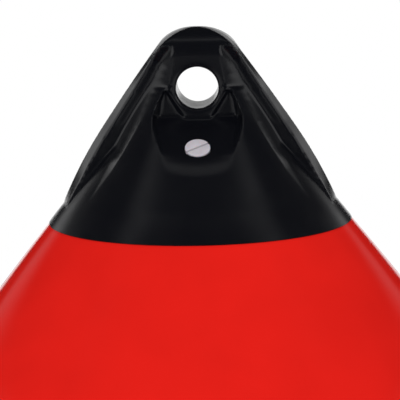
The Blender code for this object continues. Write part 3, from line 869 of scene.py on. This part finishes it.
def product(tree, *values):
    """Multiply any number of values."""
    result = values[0]
    for value in values[1:]:
        result = maths(tree, "MULTIPLY", result, value)
    return result


def white_to_camera(tree, shader, seen, mirrored):
    """Show a surface or sky to the camera as white by a share, and in gloss and glass at a level."""
    rays = node(tree, "ShaderNodeLightPath").outputs
    kind = "ShaderNodeEmission" if tree.get("floor") else "ShaderNodeBackground"
    white = node(tree, kind, {"Color": (1.0, 1.0, 1.0, 1.0), "Strength": 1.0})
    mirror = node(tree, kind, {"Color": (1.0, 1.0, 1.0, 1.0), "Strength": mirrored})
    bent = maths(tree, "MAXIMUM", rays["Is Glossy Ray"], rays["Is Transmission Ray"])
    shown = node(tree, "ShaderNodeMixShader", {0: product(tree, rays["Is Camera Ray"], seen), 1: shader,
                                               2: white.outputs[0]}).outputs[0]
    return node(tree, "ShaderNodeMixShader", {0: bent, 1: shown, 2: mirror.outputs[0]}).outputs[0]


def pale_floor():
    """Painted board, matt and pale; it keeps the buoy's shadow and fades to white further off."""
    paint = bpy.data.materials.new("pale_board")
    paint.use_nodes = True
    tree = paint.node_tree
    tree.nodes.clear()
    tree["floor"] = True
    board = node(tree, "ShaderNodeBsdfDiffuse", {"Color": (0.82, 0.82, 0.82, 1.0)})
    place = node(tree, "ShaderNodeTexCoord").outputs["Object"]
    out = node(tree, "ShaderNodeVectorMath", {0: place}, operation="LENGTH").outputs["Value"]
    share = node(tree, "ShaderNodeMapRange", {"Value": out, "From Min": FLOOR_FADE[0],
                                              "From Max": FLOOR_FADE[1], "To Min": 0.6,
                                              "To Max": 1.0}).outputs[0]
    spot = node(tree, "ShaderNodeSeparateXYZ", {0: place}).outputs
    behind = ramp(tree, spot["Y"], *FLOOR_BEHIND)
    aside = maths(tree, "ABSOLUTE", spot["X"])
    glow = product(tree, FLOOR_GLOW, ramp(tree, aside, *FLOOR_ASIDE))
    mirrored = maths(tree, "ADD", behind, glow)
    shown = white_to_camera(tree, board.outputs[0], share, mirrored)
    node(tree, "ShaderNodeOutputMaterial", {"Surface": shown})
    return paint


def dim_room(studio):
    """A dim room: white straight behind, a window on each side, a long one overhead."""
    world = bpy.data.worlds.new("dim_room")
    world.use_nodes = True
    tree = world.node_tree
    tree.nodes.clear()
    way = node(tree, "ShaderNodeTexCoord").outputs["Generated"]
    spot = node(tree, "ShaderNodeSeparateXYZ", {0: way}).outputs
    up = maths(tree, "MAXIMUM", spot["Z"], 0.2)
    flat = node(tree, "ShaderNodeVectorMath", {0: way, "Scale": maths(tree, "DIVIDE", 1.0, up)},
                operation="SCALE").outputs[0]
    level = node(tree, "ShaderNodeSeparateXYZ", {0: flat}).outputs
    wide = maths(tree, "ABSOLUTE", level["X"])
    rim = product(tree, studio.arch, ramp(tree, wide, *ARCH_SIDE), ramp(tree, level["Y"], *ARCH_FRONT),
                  ramp(tree, level["Y"], *ARCH_BACK), ramp(tree, spot["Z"], *ARCH_LOW))
    side = maths(tree, "ABSOLUTE", spot["X"])
    tone = node(tree, "ShaderNodeMapRange", {"Value": spot["X"], "From Min": -0.5, "From Max": 0.5,
                                             "To Min": studio.left, "To Max": studio.right}).outputs[0]
    tilted = maths(tree, "MULTIPLY_ADD", spot["Y"], WINDOW_SLANT, spot["Z"])
    window = product(tree, tone, ramp(tree, tilted, *WINDOW_TOP), ramp(tree, side, *WINDOW_SIDE),
                     ramp(tree, spot["Z"], *WINDOW_LOW), ramp(tree, spot["Z"], *WINDOW_HIGH),
                     ramp(tree, spot["Y"], *WINDOW_FRONT), ramp(tree, spot["Y"], *WINDOW_BACK))
    lit = maths(tree, "ADD", rim, window)
    total = maths(tree, "ADD", lit, studio.dusk)
    room = node(tree, "ShaderNodeBackground", {"Color": (1.0, 1.0, 1.0, 1.0), "Strength": studio.fill})
    behind = maths(tree, "ADD", total, ramp(tree, spot["Y"], *BACKDROP))
    shown = white_to_camera(tree, room.outputs[0], 1.0, behind)
    node(tree, "ShaderNodeOutputWorld", {"Surface": shown})
    return world


def soft_light(name, watts, size, place, aim, glossy=True):
    """A rectangular soft light that looks at a point."""
    data = bpy.data.lights.new(name, "AREA")
    data.shape = "RECTANGLE"
    data.size, data.size_y = size
    data.energy = watts
    lamp = bpy.data.objects.new(name, data)
    lamp.location = place
    lamp.rotation_euler = (Vector(aim) - Vector(place)).to_track_quat("-Z", "Y").to_euler()
    lamp.visible_glossy = glossy
    bpy.context.scene.collection.objects.link(lamp)
    return lamp


class BUOY_OT_studio(bpy.types.Operator):
    """Lay the floor, hang the lights and set up the camera"""

    bl_idname = "buoy.studio"
    bl_label = "Studio"

    def execute(self, context):
        scene, studio = context.scene, context.scene.buoy_studio
        bm = bmesh.new()
        bmesh.ops.create_circle(bm, cap_ends=True, segments=96, radius=FLOOR_RADIUS)
        floor = link_mesh("floor", bm)
        floor.data.materials.append(pale_floor())
        scene.world = dim_room(studio)
        soft_light("front_light", studio.key, KEY_SIZE, KEY_PLACE, (0.0, 0.0, CAP_EDGE), False)
        data = bpy.data.cameras.new("camera")
        data.lens = studio.lens
        camera = bpy.data.objects.new("camera", data)
        scene.collection.objects.link(camera)
        spot = Vector((0.0, -studio.distance, CAP_EDGE + studio.rise))
        spot.rotate(Matrix.Rotation(studio.azimuth, 3, "Z"))
        aim = Vector((0.0, 0.0, CAP_EDGE + studio.aim))
        look = (aim - spot).to_track_quat("-Z", "Y").to_matrix().to_4x4()
        camera.matrix_world = Matrix.Translation(spot) @ look @ Matrix.Rotation(studio.roll, 4, "Z")
        data.clip_start, data.clip_end = 0.05, 60.0
        scene.camera = camera
        scene.view_settings.view_transform = "Standard"
        return {"FINISHED"}


# ---------------------------------------------------------------- panel and registration
class BUOY_PT_panel(bpy.types.Panel):
    """The buoy's pieces, in the order in which they are built"""

    bl_label = "Mooring Buoy"
    bl_idname = "BUOY_PT_panel"
    bl_space_type = "VIEW_3D"
    bl_region_type = "UI"
    bl_category = "Buoy"

    def draw(self, context):
        for operator in OPERATORS:
            self.layout.operator(operator.bl_idname)


SIZES = {"buoy_hull": HullSizes, "buoy_eye": RopeEyeSizes, "buoy_valve": ValveSizes,
         "buoy_studio": StudioSizes}
OPERATORS = (BUOY_OT_hull, BUOY_OT_rope_eye, BUOY_OT_plug, BUOY_OT_washer, BUOY_OT_studio)


def register():
    """Make the sizes, the operators and the panel known to Blender."""
    for group in (*SIZES.values(), *OPERATORS, BUOY_PT_panel):
        bpy.utils.register_class(group)
    for name, group in SIZES.items():
        setattr(bpy.types.Scene, name, PointerProperty(type=group))


def unregister():
    """Undo register."""
    for name in SIZES:
        delattr(bpy.types.Scene, name)
    for group in (BUOY_PT_panel, *reversed(OPERATORS), *SIZES.values()):
        bpy.utils.unregister_class(group)


def main():
    """Build the buoy and its studio."""
    register()
    bpy.ops.buoy.hull()
    bpy.ops.buoy.rope_eye()
    bpy.ops.buoy.plug()
    bpy.ops.buoy.washer()
    bpy.ops.buoy.studio()


if __name__ == "__main__":
    main()
